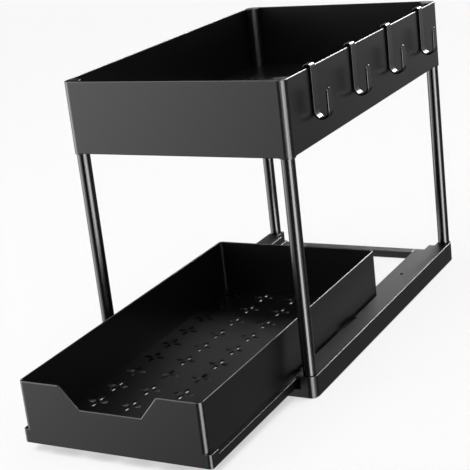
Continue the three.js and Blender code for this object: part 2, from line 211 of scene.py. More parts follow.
class StageSettings(bpy.types.PropertyGroup):
    """Camera and light"""

    azimuth: angle("Azimuth", "Camera's turn to the right of straight ahead", 29.761)
    elevation: angle("Elevation", "Camera's height angle", 17.806)
    roll: angle("Roll", "Tilt of the picture", 6.743)
    distance: length("Distance", "From the camera to the point it looks at", 1.34584)
    lens: FloatProperty(name="Lens", description="Focal length on a 36 mm wide sensor", default=101.57,
                        min=1.0, unit="CAMERA")
    target: FloatVectorProperty(name="Target", description="Point that the camera looks at", size=3,
                                default=(RACK_X + 0.0029, RACK_Y - 0.11327, 0.13),
                                subtype="TRANSLATION", unit="LENGTH")
    floor: colour("Floor", "Colour of the floor", (0.9, 0.9, 0.9))


class SpiceRackSettings(bpy.types.PropertyGroup):
    """All settings of the rack"""

    tray: PointerProperty(name="Tray", description="Sizes of the tray", type=TraySizes)
    post: PointerProperty(name="Posts", description="Sizes of the posts", type=PostSizes)
    base: PointerProperty(name="Base", description="Sizes of the base", type=BaseSizes)
    drawer: PointerProperty(name="Drawer", description="Sizes of the drawer", type=DrawerSizes)
    hook: PointerProperty(name="Hooks", description="Sizes of the hooks", type=HookSizes)
    finish: PointerProperty(name="Finishes", description="Colours and gloss", type=Finishes)
    stage: PointerProperty(name="Stage", description="Camera and light", type=StageSettings)


# Outlines

def rounded_rectangle(half_x, half_y, radius, centre, steps=12):
    points = []
    for quarter, (sx, sy) in enumerate(QUARTERS):
        x = centre[0] + sx * (half_x - radius)
        y = centre[1] + sy * (half_y - radius)
        for step in range(steps + 1):
            angle = (quarter + step / steps) * math.pi / 2
            points.append((x + radius * math.cos(angle), y + radius * math.sin(angle)))
    return points


def circle(x, y, radius, steps=48):
    turns = [2 * math.pi * step / steps for step in range(steps)]
    return [(x + radius * math.cos(a), y + radius * math.sin(a)) for a in turns]


def rectangle(x0, x1, y0, y1):
    return [(x0, y0), (x1, y0), (x1, y1), (x0, y1)]


def arc(x, y, radius, start, end, steps):
    angles = [math.radians(start + (end - start) * step / steps) for step in range(steps + 1)]
    return [(x + radius * math.cos(a), y + radius * math.sin(a)) for a in angles]


def soften(points, radii, steps=6):
    """The outline with its corners rounded; a radius of 0 keeps a corner."""
    result = []
    for index, radius in enumerate(radii):
        here = Vector(points[index])
        before = (Vector(points[index - 1]) - here).normalized()
        after = (Vector(points[(index + 1) % len(points)]) - here).normalized()
        if not radius:
            result.append(tuple(here))
            continue
        half = before.angle(after) / 2
        centre = here + (before + after).normalized() * radius / math.sin(half)
        first = here + before * radius / math.tan(half) - centre
        last = here + after * radius / math.tan(half) - centre
        turn = first.angle(last)
        for step in range(steps + 1):
            part = step / steps
            spoke = first * math.sin((1 - part) * turn) + last * math.sin(part * turn)
            result.append(tuple(centre + spoke / math.sin(turn)))
    return result


# Solids

SAME_PLACE = 2e-6           # points nearer than this count as one
FLAT = math.radians(0.5)    # faces that meet at less than this lie in one plane
SHARP = math.radians(35)    # edges that turn by more than this are rounded
UPRIGHT, FACING_UP = 0.1, 0.3   # most rise of an upright face's normal, and least of one that faces up


def add_prism(bm, outline, low, high, axis="Z"):
    """Adds a closed prism over an outline; along Y it is drawn in X and Z, along X in Y and Z."""
    def corner(a, b, height):
        return {"Z": (a, b, height), "Y": (a, height, b), "X": (height, a, b)}[axis]

    bottom = [bm.verts.new(corner(a, b, low)) for a, b in outline]
    top = [bm.verts.new(corner(a, b, high)) for a, b in outline]
    faces = [bm.faces.new(bottom), bm.faces.new(top)]
    for index in range(len(outline)):
        after = (index + 1) % len(outline)
        faces.append(bm.faces.new((bottom[index], bottom[after], top[after], top[index])))
    bmesh.ops.recalc_face_normals(bm, faces=faces)


def new_object(name, data):
    obj = bpy.data.objects.new(name, data)
    bpy.context.scene.collection.objects.link(obj)
    return obj


def finished_object(name, bm):
    mesh = bpy.data.meshes.new(name)
    bm.to_mesh(mesh)
    bm.free()
    return new_object(name, mesh)


@contextmanager
def opened_mesh(obj):
    """The object's mesh, open for changes that are written back at the end."""
    bm = bmesh.new()
    bm.from_mesh(obj.data)
    yield bm
    bm.to_mesh(obj.data)
    bm.free()


def shape(name, *prisms):
    """An object made of separate closed prisms."""
    bm = bmesh.new()
    for prism in prisms:
        add_prism(bm, *prism)
    return finished_object(name, bm)


def turned(name, profile, x, y, steps=64):
    """An object turned about an upright axis from a closed profile of radius and height."""
    bm = bmesh.new()
    rings = []
    for radius, z in profile:
        if radius == 0.0:
            rings.append([bm.verts.new((x, y, z))])
        else:
            rings.append([bm.verts.new((px, py, z)) for px, py in circle(x, y, radius, steps)])
    for ring, following in zip(rings, rings[1:] + rings[:1]):
        if len(ring) == 1 and len(following) == 1:
            continue
        for index in range(steps):
            after = (index + 1) % steps
            corners = [ring[index % len(ring)], ring[after % len(ring)],
                       following[after % len(following)], following[index % len(following)]]
            bm.faces.new(list(dict.fromkeys(corners)))
    bmesh.ops.recalc_face_normals(bm, faces=bm.faces)
    return finished_object(name, bm)


def remove_object(obj):
    mesh = obj.data
    bpy.data.objects.remove(obj)
    bpy.data.meshes.remove(mesh)


def apply_modifiers(obj):
    """Makes what the modifiers give the object's own mesh."""
    graph = bpy.context.evaluated_depsgraph_get()
    mesh = bpy.data.meshes.new_from_object(obj.evaluated_get(graph))
    before = obj.data
    obj.modifiers.clear()
    obj.data = mesh
    mesh.name = obj.name
    bpy.data.meshes.remove(before)


def combine(obj, operation, tool):
    step = obj.modifiers.new("Combine", "BOOLEAN")
    step.operation = operation
    step.solver = "EXACT"
    step.object = tool
    apply_modifiers(obj)
    remove_object(tool)
    if not obj.data.polygons:
        raise RuntimeError(f"{obj.name} has no faces left after {operation.lower()}")


def cut(obj, *prisms):
    combine(obj, "DIFFERENCE", shape("tool", *prisms))


def join(obj, *prisms):
    combine(obj, "UNION", shape("tool", *prisms))


def clean_faces(obj, seams=()):
    """Welds doubles and joins faces that lie in one plane, but not across the seams and never into a ring."""
    with opened_mesh(obj) as bm:
        bmesh.ops.remove_doubles(bm, verts=bm.verts, dist=SAME_PLACE)
        for axis, place in seams:
            across = Vector((axis == "X", axis == "Y", 0.0))
            bmesh.ops.bisect_plane(bm, geom=[*bm.verts, *bm.edges, *bm.faces], dist=SAME_PLACE / 2,
                                   plane_co=across * place, plane_no=across)

        def on_seam(edge):
            for axis, place in seams:
                if all(abs(vert.co["XY".index(axis)] - place) < SAME_PLACE for vert in edge.verts):
                    return True
            return False

        for edge in list(bm.edges):
            if not edge.is_valid or len(edge.link_faces) != 2:
                continue
            if edge.calc_face_angle() > FLAT or on_seam(edge):
                continue
            first, second = edge.link_faces
            seam = [shared for shared in first.edges if second in shared.link_faces]
            if len(set(first.verts) & set(second.verts)) == len(seam) + 1:
                bmesh.utils.face_join((first, second))
        joints = [vert for vert in bm.verts if len(vert.link_edges) == 2]
        straight = [vert for vert in joints if vert.calc_edge_angle(1.0) < FLAT]
        bmesh.ops.dissolve_verts(bm, verts=straight)


def round_edges(obj, width, other_width=None, segments=3, seams=()):
    """Rounds the convex edges; other_width gives the width of an edge where it differs."""
    clean_faces(obj, seams)
    with opened_mesh(obj) as bm:
        weights = bm.edges.layers.float.new("bevel_weight_edge")
        widths = {}
        for edge in bm.edges:
            if len(edge.link_faces) == 2 and edge.is_convex and edge.calc_face_angle() > SHARP:
                widths[edge] = other_width and other_width(edge) or width
        widest = max(widths.values())
        for edge, value in widths.items():
            edge[weights] = value / widest
    bevel = obj.modifiers.new("Round edges", "BEVEL")
    bevel.width = widest
    bevel.segments = segments
    bevel.limit_method = "WEIGHT"
    bevel.use_clamp_overlap = False
    apply_modifiers(obj)
    drop_strays(obj)


def drop_strays(obj):
    """Removes single faces that hang on nothing."""
    with opened_mesh(obj) as bm:
        strays = [face for face in bm.faces if all(len(edge.link_faces) == 1 for edge in face.edges)]
        bmesh.ops.delete(bm, geom=strays, context="FACES")


def middle_of(edge):
    return (edge.verts[0].co + edge.verts[1].co) / 2


def rim_widths(centre, outer, inner):
    """Widths for the edges of an open rim: one for its outer side and one for its inner side."""
    def width(edge):
        side, top = sorted(edge.link_faces, key=lambda face: abs(face.normal.z))
        if abs(side.normal.z) > UPRIGHT or top.normal.z < FACING_UP:
            return None
        return outer if side.normal.xy.dot(middle_of(edge).xy - Vector(centre)) > 0 else inner
    return width


def shade(obj, angle=35):
    """Smooth shading that keeps broad faces flat."""
    obj.data.shade_smooth()
    obj.data.set_sharp_from_angle(angle=math.radians(angle))
    weights = obj.modifiers.new("Flat faces", "WEIGHTED_NORMAL")
    weights.keep_sharp = True
    weights.weight = 80
    weights.thresh = 0.0
    apply_modifiers(obj)


def fit_piece(obj, material, body, slot, *nodes):
    """Gives a finished piece its material and its body, and hides the solids that it stands for."""
    obj.data.materials.clear()
    obj.data.materials.append(material)
    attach(obj, body)
    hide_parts(*nodes)


# Materials

PLASTIC_GRAIN = 2200.0      # scale of the fine grain on moulded plastic
GRAIN_SWING = 0.05          # how far the grain moves the roughness up and down
RUBBED = -0.02              # what a rubbed patch adds to the roughness of plastic
STEEL_ROUGHNESS = (0.28, 0.42)      # roughness of steel, clean and rubbed
CLOUD_DARK, CLOUD_PALE = 0.8, 1.2   # darkest and palest share of a tint in its clouding
STEEL_PALE = 1.15           # palest share of a tint on steel


def add_node(tree, kind, inputs=None, **options):
    """The outputs of a new node; each of its inputs is given a value or a socket to follow."""
    node = tree.nodes.new(kind)
    for name, value in options.items():
        setattr(node, name, value)
    for name, value in (inputs or {}).items():
        if isinstance(value, bpy.types.NodeSocket):
            tree.links.new(value, node.inputs[name])
        else:
            node.inputs[name].default_value = value
    return node.outputs


def math_node(tree, operation, first, second):
    return add_node(tree, "ShaderNodeMath", {0: first, 1: second}, operation=operation)["Value"]


def map_range(tree, source, low, high, first=0.0, last=1.0, kind="LINEAR"):
    """A value from first to last that follows a source from low to high."""
    inputs = {"Value": source, "From Min": low, "From Max": high, "To Min": first, "To Max": last}
    return add_node(tree, "ShaderNodeMapRange", inputs, interpolation_type=kind)["Result"]


def mixed_shader(tree, factor, first, second):
    return add_node(tree, "ShaderNodeMixShader", {0: factor, 1: first, 2: second})["Shader"]


def number_group(name, inputs, outputs):
    """A new shader node group with number sockets, and its entry and exit."""
    group = bpy.data.node_groups.new(name, "ShaderNodeTree")
    for label, default in inputs.items():
        socket = group.interface.new_socket(label, in_out="INPUT", socket_type="NodeSocketFloat")
        socket.default_value = default
    for label in outputs:
        group.interface.new_socket(label, in_out="OUTPUT", socket_type="NodeSocketFloat")
    return group, group.nodes.new("NodeGroupInput"), group.nodes.new("NodeGroupOutput")


def object_noise(group, scale, detail, distortion=0.0):
    """Noise that stays in place on the object."""
    place = add_node(group, "ShaderNodeTexCoord")["Object"]
    inputs = {"Vector": place, "Scale": scale, "Detail": detail, "Distortion": distortion}
    return add_node(group, "ShaderNodeTexNoise", inputs)["Fac"]


def grain_group():
    """Fine spark-eroded grain and broad clouding of moulded plastic."""
    name = "Moulded grain"
    if name not in bpy.data.node_groups:
        scales = {"Grain scale": PLASTIC_GRAIN, "Cloud scale": 18.0}
        group, entry, out = number_group(name, scales, ("Grain", "Cloud"))
        for label, detail in (("Grain", 3.0), ("Cloud", 2.0)):
            noise = object_noise(group, entry.outputs[f"{label} scale"], detail)
            group.links.new(noise, out.inputs[label])
    return bpy.data.node_groups[name]


def marks_group():
    """Faint rubbed patches left by handling."""
    name = "Handling marks"
    if name not in bpy.data.node_groups:
        group, entry, out = number_group(name, {"Patch scale": 40.0}, ("Marks",))
        noise = object_noise(group, entry.outputs["Patch scale"], detail=5.0, distortion=1.2)
        group.links.new(map_range(group, noise, 0.4, 0.8, kind="SMOOTHSTEP"), out.inputs["Marks"])
    return bpy.data.node_groups[name]


def scaled(tint, amount):
    return (*(amount * part for part in tint), 1.0)


def clouded_material(name, tint, palest, grain_scales, patch_scale):
    """A new material with a clouded tint, its shader's inputs, and the sockets of its grain and marks."""
    material = bpy.data.materials.new(name)
    material.use_nodes = True
    material.diffuse_color = (*tint, 1.0)
    tree = material.node_tree
    surface = tree.nodes["Principled BSDF"].inputs
    grain = add_node(tree, "ShaderNodeGroup", grain_scales, node_tree=grain_group())
    marks = add_node(tree, "ShaderNodeGroup", {"Patch scale": patch_scale}, node_tree=marks_group())
    inputs = {"Factor": grain["Cloud"], "A": scaled(tint, CLOUD_DARK), "B": scaled(tint, palest)}
    mixed = add_node(tree, "ShaderNodeMix", inputs, data_type="RGBA")["Result"]
    tree.links.new(mixed, surface["Base Color"])
    return material, surface, grain["Grain"], marks["Marks"]


def plastic(name, tint, roughness, grain_depth, grain_scale=PLASTIC_GRAIN, patch_scale=14.0, specular=0.5):
    """Coloured plastic with moulded grain, clouding and rubbed patches."""
    if name in bpy.data.materials:
        return bpy.data.materials[name]
    material, surface, grain, marks = clouded_material(
        name, tint, CLOUD_PALE, {"Grain scale": grain_scale}, patch_scale)
    tree = material.node_tree
    surface["Specular IOR Level"].default_value = specular
    grained = map_range(tree, grain, 0.0, 1.0, roughness - GRAIN_SWING, roughness + GRAIN_SWING)
    rubbed = map_range(tree, marks, 0.0, 1.0, 0.0, RUBBED)
    tree.links.new(math_node(tree, "ADD", grained, rubbed), surface["Roughness"])
    bump = add_node(tree, "ShaderNodeBump", {"Strength": 0.6, "Distance": grain_depth, "Height": grain})
    tree.links.new(bump["Normal"], surface["Normal"])
    return material


def steel(name, tint):
    """Bright zinc-plated steel with faint clouding and fine rubbed patches."""
    if name in bpy.data.materials:
        return bpy.data.materials[name]
    scales = {"Grain scale": 3000.0, "Cloud scale": 300.0}
    material, surface, _, marks = clouded_material(name, tint, STEEL_PALE, scales, patch_scale=400.0)
    surface["Metallic"].default_value = 1.0
    tree = material.node_tree
    tree.links.new(map_range(tree, marks, 0.0, 1.0, *STEEL_ROUGHNESS), surface["Roughness"])
    return material


# Geometry node trees

class TreeMaker:
    """Builds a geometry node tree whose inputs are set by identifier on a modifier."""

    def __init__(self, name):
        self.tree = bpy.data.node_groups.new(name, "GeometryNodeTree")
        for way in ("INPUT", "OUTPUT"):
            self.tree.interface.new_socket("Geometry", in_out=way, socket_type="NodeSocketGeometry")
        self.entry = self.tree.nodes.new("NodeGroupInput")
        self.exit = self.tree.nodes.new("NodeGroupOutput")
        self.sockets = {}

    def input(self, name, kind):
        socket = self.tree.interface.new_socket(name, in_out="INPUT", socket_type=f"NodeSocket{kind}")
        self.sockets[name] = socket.identifier
        return self.entry.outputs[name]

    def add(self, kind, inputs=None, **options):
        return add_node(self.tree, kind, inputs, **options)

    def math(self, operation, first, second):
        return math_node(self.tree, operation, first, second)

    def finish(self, geometry, material):
        whole = self.add("GeometryNodeRealizeInstances", {"Geometry": geometry})["Geometry"]
        dressed = self.add("GeometryNodeSetMaterial", {"Geometry": whole, "Material": material})
        self.tree.links.new(dressed["Geometry"], self.exit.inputs["Geometry"])

    def run(self, obj, values):
        """Sets the inputs, evaluates the tree and keeps the result as the object's mesh."""
        step = obj.modifiers.new(self.tree.name, "NODES")
        step.node_group = self.tree
        for name, value in values.items():
            step[self.sockets[name]] = value
        apply_modifiers(obj)
        if not obj.data.polygons:
            raise RuntimeError(f"{obj.name} came out of {self.tree.name} with no faces")


def squared_round(maker, unit_circle):
    """Pushes the points of a unit circle out to a square with rounded corners, x^6 + y^6 = 1."""
    place = maker.add("GeometryNodeInputPosition")["Position"]
    axes = maker.add("ShaderNodeSeparateXYZ", {"Vector": place})
    product = maker.math("MULTIPLY", axes["X"], axes["Y"])
    triple = maker.math("MULTIPLY", 3.0, maker.math("MULTIPLY", product, product))
    push = maker.math("POWER", maker.math("SUBTRACT", 1.0, triple), -1 / 6)
    stretch = maker.add("ShaderNodeCombineXYZ", {"X": push, "Y": push, "Z": 1.0})["Vector"]
    moved = maker.add("ShaderNodeVectorMath", {0: place, 1: stretch}, operation="MULTIPLY")["Vector"]
    return maker.add("GeometryNodeSetPosition", {"Geometry": unit_circle, "Position": moved})["Geometry"]


def flower_holes():
    """Cuts a grid of four-petal flowers through a floor."""
    maker = TreeMaker("Flower holes")
    columns, rows = maker.input("Columns", "Int"), maker.input("Rows", "Int")
    pitch_x, pitch_y = maker.input("Column pitch", "Float"), maker.input("Row pitch", "Float")
    offset = maker.input("Petal offset", "Float")
    long, short = maker.input("Petal length", "Float"), maker.input("Petal width", "Float")
    depth, centre = maker.input("Depth", "Float"), maker.input("Centre", "Vector")
    material = maker.input("Material", "Material")

    petal = maker.add("GeometryNodeMeshCylinder", {"Vertices": 16, "Radius": 1.0, "Depth": depth},
                      fill_type="NGON")["Mesh"]
    size = maker.add("ShaderNodeCombineXYZ", {"X": long, "Y": short, "Z": 1.0})["Vector"]
    oval = maker.add("GeometryNodeTransform", {"Geometry": squared_round(maker, petal), "Scale": size})

    ring = maker.add("GeometryNodeMeshCircle", {"Vertices": 4, "Radius": offset}, fill_type="NONE")["Mesh"]
    index = maker.add("GeometryNodeInputIndex")["Index"]
    turn = maker.add("ShaderNodeCombineXYZ", {"Z": maker.math("MULTIPLY", index, math.pi / 2)})["Vector"]
    turned_by = maker.add("FunctionNodeEulerToRotation", {"Euler": turn})["Rotation"]
    flower = maker.add("GeometryNodeInstanceOnPoints", {
        "Points": ring, "Instance": oval["Geometry"], "Rotation": turned_by})["Instances"]

    grid = maker.add("GeometryNodeMeshGrid", {
        "Vertices X": columns,
        "Vertices Y": rows,
        "Size X": maker.math("MULTIPLY", pitch_x, maker.math("SUBTRACT", columns, 1)),
        "Size Y": maker.math("MULTIPLY", pitch_y, maker.math("SUBTRACT", rows, 1))})["Mesh"]
    placed = maker.add("GeometryNodeTransform", {"Geometry": grid, "Translation": centre})["Geometry"]
    field = maker.add("GeometryNodeInstanceOnPoints", {"Points": placed, "Instance": flower})["Instances"]
    cutters = maker.add("GeometryNodeRealizeInstances", {"Geometry": field})["Geometry"]

    floor = maker.entry.outputs["Geometry"]
    pierced = maker.add("GeometryNodeMeshBoolean", {"Mesh 1": floor, "Mesh 2": cutters},
                        operation="DIFFERENCE", solver="EXACT")["Mesh"]
    maker.finish(pierced, material)
    return maker


def repeated_part():
    """Puts a copy of one part at every point."""
    maker = TreeMaker("Repeated part")
    part = maker.input("Part", "Object")
    material = maker.input("Material", "Material")
    info = maker.add("GeometryNodeObjectInfo", {"Object": part}, transform_space="ORIGINAL")
    copies = maker.add("GeometryNodeInstanceOnPoints", {
        "Points": maker.entry.outputs["Geometry"], "Instance": info["Geometry"]})
    maker.finish(copies["Instances"], material)
    return maker


def repeat_at(name, part, points, material):
    """One mesh with a copy of the part at each point; the part itself is removed."""
    mesh = bpy.data.meshes.new(name)
    mesh.from_pydata([tuple(point) for point in points], [], [])
    obj = new_object(name, mesh)
    repeated_part().run(obj, {"Part": part, "Material": material})
    remove_object(part)
    return obj


# Pieces

def settings(context):
    return context.scene.spice_rack


def satin_black(context, part):
    finish = settings(context).finish
    return plastic(f"satin_black_{part}", tuple(getattr(finish, part)), finish.satin, grain_depth=0.00006)


class SPICE_RACK_OT_upper_tray(bpy.types.Operator):
    """Open tray with round corner columns and a socket for each post"""

    bl_idname = "spice_rack.upper_tray"
    bl_label = "Upper tray"

    def execute(self, context):
        sizes = settings(context).tray
        post = settings(context).post
        centre = (RACK_X, RACK_Y)
        half_x = TRAY_HIGH.x - RACK_X
        half_y = TRAY_HIGH.y - RACK_Y
        bottom = TRAY_LOW.z + sizes.sleeve
        corner = half_x - POST_X
        reach = corner - sizes.wall
        side = math.degrees(math.acos(reach / sizes.column))
        inside = []
        for quarter, (sx, sy) in enumerate(QUARTERS):
            turn = 90 * quarter
            inside += arc(RACK_X + sx * POST_X, RACK_Y + sy * POST_Y, sizes.column,
                          turn - side, turn + side - 270, 24)
        tray = shape("upper_tray_shell",
                     (rounded_rectangle(half_x, half_y, corner, centre), bottom, TRAY_HIGH.z))
        cut(tray, (inside, bottom + sizes.wall, TRAY_HIGH.z + OVERSHOOT))
        round_edges(tray, sizes.edge, rim_widths(centre, sizes.rim, sizes.rim_inner), segments=4,
                    seams=(("X", RACK_X), ("Y", RACK_Y)))
        sleeves, sockets = [], []
        for place in POST_PLACES:
            sleeves.append((circle(place.x, place.y, corner), TRAY_LOW.z, bottom + sizes.wall / 2))
            sockets.append((circle(place.x, place.y, post.radius + post.play),
                            TRAY_LOW.z - OVERSHOOT, TRAY_HIGH.z - sizes.cap))
        join(tray, *sleeves)
        cut(tray, *sockets)
        shade(tray)
        fit_piece(tray, satin_black(context, "tray"), "frame", "tray", "upper_tray")
        return {"FINISHED"}


class SPICE_RACK_OT_posts(bpy.types.Operator):
    """Round tubes between the base and the tray"""

    bl_idname = "spice_rack.posts"
    bl_label = "Posts"

    def execute(self, context):
        sizes = settings(context).post
        finish = settings(context).finish
        material = plastic("gloss_black_post", tuple(finish.post), finish.gloss,
                           grain_depth=0.00001, grain_scale=900.0, patch_scale=25.0)
        outer, inner = sizes.radius, sizes.radius - sizes.wall
        lip = sizes.wall / 4
        for node, place in zip(POSTS, POST_PLACES):
            low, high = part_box(node)
            foot = [(inner, low.z + lip), (inner + lip, low.z),
                    (outer - lip, low.z), (outer, low.z + lip)]
            head = [(outer, high.z - lip), (outer - lip, high.z),
                    (inner + lip, high.z), (inner, high.z - lip)]
            post = turned(f"{node}_tube", foot + head, place.x, place.y)
            shade(post, 50)
            fit_piece(post, material, "frame", "post", node)
        return {"FINISHED"}


# Places on the rails that the posts, the pads and the drawer ask for, from the rack's middle
SOCKET_FLOOR = 0.004        # height of the floor of a post's socket
PAD_POCKET = 0.0073         # radius of the pocket that takes a foot pad
PAD_POCKET_TOP = 0.0018     # height of that pocket's roof
SLOT_ROUND = 0.8            # corner radius of the small slot, as a share of its half width
CUT_INNER, CUT_END, CUT_TOP = 0.09, 0.21, 0.03      # where the tools end that cut the plates
STEP_FLOOR = 0.0112         # height down to which the plate is cut behind its step
RECESS_FLOOR = 0.015        # height down to which the ear's recess and the fitting notch are cut
EAR_RECESS, EAR_RECESS_DEPTH = 0.0999, 0.0147       # side and depth of the room for the closed drawer's ear
FITTING, FITTING_FRONT, FITTING_REAR = 0.1005, -0.08, -0.05     # the fitting notch in a plate's edge
POCKET_ZONE, SOCKET_ZONE = 0.0079, 0.007    # nearer to a post's axis, edges belong to a pocket or socket
SLOT_ZONE = 0.0002          # edges that lie within the small slot and this much round it belong to the slot
RIM_ZONE = 0.101            # edges on top that lie further out than this belong to the rim


class SPICE_RACK_OT_rails(bpy.types.Operator):
    """Side rails of the base with their ledges, top plates and post bosses"""

    bl_idname = "spice_rack.rails"
    bl_label = "Rails"

    def execute(self, context):
        for name, side in (("left_rail", -1), ("right_rail", 1)):
            self.build(context, name, side)
        return {"FINISHED"}

    def build(self, context, name, side):
        sizes = settings(context).base
        post = settings(context).post
        out = RAIL_HIGH.x - RACK_X
        deep = RAIL_HIGH.y - RACK_Y
        bottom, top = RAIL_LOW.z, RAIL_HIGH.z
        under = sizes.ledge_top - sizes.ledge
        inner = out - sizes.wall
        plate_under = top - sizes.plate

        def at(points):
            return [(RACK_X + side * a, b) for a, b in points]

        def plan(points):
            return [(RACK_X + side * a, RACK_Y + b) for a, b in points]

        section = [(out, bottom), (out, top), (sizes.plate_inner, top), (sizes.plate_inner, plate_under),
                   (inner, plate_under), (inner, sizes.ledge_top), (sizes.window, sizes.ledge_top),
                   (sizes.window, bottom), (sizes.window + sizes.wall, bottom),
                   (sizes.window + sizes.wall, under), (inner, under), (inner, bottom)]
        rail = shape(f"{name}_channel", (at(section), RACK_Y - deep, RACK_Y + deep, "Y"))
        ends, feet, bosses, sockets, pads = [], [], [], [], []
        for end in (-1, 1):
            face, back = end * deep, end * (deep - sizes.wall)
            ends.append((plan(rectangle(sizes.plate_end, out, face, back)), bottom, top))
            feet.append((plan(rectangle(sizes.window, sizes.plate_end + LAP, face, back)),
                         bottom, sizes.ledge_top))
            post_at = (RACK_X + side * POST_X, RACK_Y + end * POST_Y)
            bosses.append((circle(*post_at, sizes.boss), bottom, top))
            sockets.append((circle(*post_at, post.radius + post.play), SOCKET_FLOOR, top + OVERSHOOT))
            pads.append((circle(*post_at, PAD_POCKET), -LAP, PAD_POCKET_TOP))
        block = plan(rectangle(sizes.block_inner, inner + LAP, sizes.block_front, deep - LAP))
        blocks = [(block, sizes.ledge_top - LAP, plate_under + LAP)]
        slot = Vector((RACK_X + side * sizes.slot_x, RACK_Y + sizes.slot_y))
        slot_plan = rounded_rectangle(
            sizes.slot_width, sizes.slot_depth, sizes.slot_width * SLOT_ROUND, slot, steps=6)
        slots = [(slot_plan, plate_under - LAP, top + LAP)]
        step = plan(rectangle(CUT_INNER, sizes.plate_end, sizes.plate_step, CUT_END))
        ear = plan(rectangle(CUT_INNER, EAR_RECESS, -CUT_END, -deep + EAR_RECESS_DEPTH))
        fitting = plan(rectangle(CUT_INNER, FITTING, FITTING_FRONT, FITTING_REAR))
        cuts = [(step, STEP_FLOOR, CUT_TOP), (ear, RECESS_FLOOR, CUT_TOP), (fitting, RECESS_FLOOR, CUT_TOP)]
        for parts in (ends, feet, bosses, blocks):
            join(rail, *parts)
        combine(rail, "INTERSECT", shape("outline", (
            rounded_rectangle(out, deep, out - POST_X, (RACK_X, RACK_Y)), -OVERSHOOT, top + OVERSHOOT)))
        for tools in (sockets, pads, slots, cuts):
            cut(rail, *tools)
        seams = [("X", RACK_X + side * POST_X)]
        seams += [("Y", RACK_Y + place) for place in (-POST_Y, POST_Y, sizes.slot_y)]
        round_edges(rail, sizes.edge, self.edge_widths(sizes, slot), seams=seams)
        shade(rail)
        fit_piece(rail, satin_black(context, "base"), "frame", "base", name)

    def edge_widths(self, sizes, slot):
        """Widths for the edges of the rim, the sockets, the pockets and the small slot."""
        rim = rim_widths((RACK_X, RACK_Y), sizes.rim, None)

        def width(edge):
            middle = middle_of(edge)
            to_post = min((middle.xy - place.xy).length for place in POST_PLACES)
            to_slot = (middle.xy - slot).length
            if to_post < POCKET_ZONE or to_slot < sizes.slot_depth + SLOT_ZONE:
                return sizes.socket_edge if to_post < SOCKET_ZONE else sizes.fine_edge
            on_top = middle.z > RAIL_HIGH.z - LAP
            return rim(edge) if on_top and abs(middle.x - RACK_X) > RIM_ZONE else None
        return width


BAR_PLAY = 0.0003           # gap between a crossbar and the rails
BAR_WALL, BAR_ROOF = 0.002, 0.0024          # thickness of a crossbar's walls and of its top
TONGUE_NEAR, TONGUE_FAR = 0.1902, 0.1975    # from the middle to the long faces of a tongue
TONGUE_ROOT = 0.006         # how far a tongue reaches into its bar
TONGUE_END = 0.09           # from the middle to the end of a tongue
SCREW_X, SCREW_Y = 0.082, 0.1938            # from the middle to a screw
SHANK_HOLE, HEAD_HOLE = 0.0018, 0.0033      # radii of a screw's hole and of the room for its head
HEAD_HOLE_TOP = 0.0032      # height of that room's roof


class SPICE_RACK_OT_crossbars(bpy.types.Operator):
    """Low bars that join the rails at the front and the back"""

    bl_idname = "spice_rack.crossbars"
    bl_label = "Crossbars"

    def execute(self, context):
        sizes = settings(context).base
        half = sizes.window - BAR_PLAY
        tongue_top = sizes.ledge_top - sizes.ledge - BAR_PLAY
        for name, end in (("front_crossbar", -1), ("rear_crossbar", 1)):
            low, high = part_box(name)

            def span(inset):
                return rectangle(RACK_X - half + inset, RACK_X + half - inset, low.y + inset, high.y - inset)

            bar = shape(f"{name}_bar", (span(0.0), low.z, high.z))
            cut(bar, (span(BAR_WALL), low.z - OVERSHOOT, high.z - BAR_ROOF))
            tongues, shanks, heads = [], [], []
            for side in (-1, 1):
                y0, y1 = sorted((RACK_Y + end * TONGUE_NEAR, RACK_Y + end * TONGUE_FAR))
                x0, x1 = sorted((RACK_X + side * (half - TONGUE_ROOT), RACK_X + side * TONGUE_END))
                tongues.append((rectangle(x0, x1, y0, y1), low.z + BAR_PLAY, tongue_top))
                screw = (RACK_X + side * SCREW_X, RACK_Y + end * SCREW_Y)
                shanks.append((circle(*screw, SHANK_HOLE, steps=24), -OVERSHOOT, tongue_top + LAP))
                heads.append((circle(*screw, HEAD_HOLE, steps=24), -OVERSHOOT, HEAD_HOLE_TOP))
            join(bar, *tongues)
            cut(bar, *shanks)
            cut(bar, *heads)
            seams = [("X", RACK_X + place) for place in (-SCREW_X, 0.0, SCREW_X)]
            round_edges(bar, sizes.edge, segments=2, seams=(*seams, ("Y", RACK_Y + end * SCREW_Y)))
            shade(bar)
            fit_piece(bar, satin_black(context, "base"), "frame", "base", name)
        return {"FINISHED"}


# Outline of a screw's head: share of its radius, and height over its lowest point
SCREW_HEAD = ((0.0, 0.0004), (0.55, 0.0001), (0.87, 0.0002), (1.0, 0.0006), (1.0, 0.0017), (0.5, 0.0017))
THREAD_TURNS, THREAD_START, THREAD_PITCH = 6, 0.002, 0.0006
THREAD_ROOT = 0.78          # radius between the threads, as a share of the shank's
SCREW_POINT, POINT_LENGTH = 0.7, 0.0004     # end of the shank, as a share of its radius, and its chamfer
DRIVE, DRIVE_DEPTH = 0.42, 0.0012           # radius of the drive recess, as a share of the head's, and depth


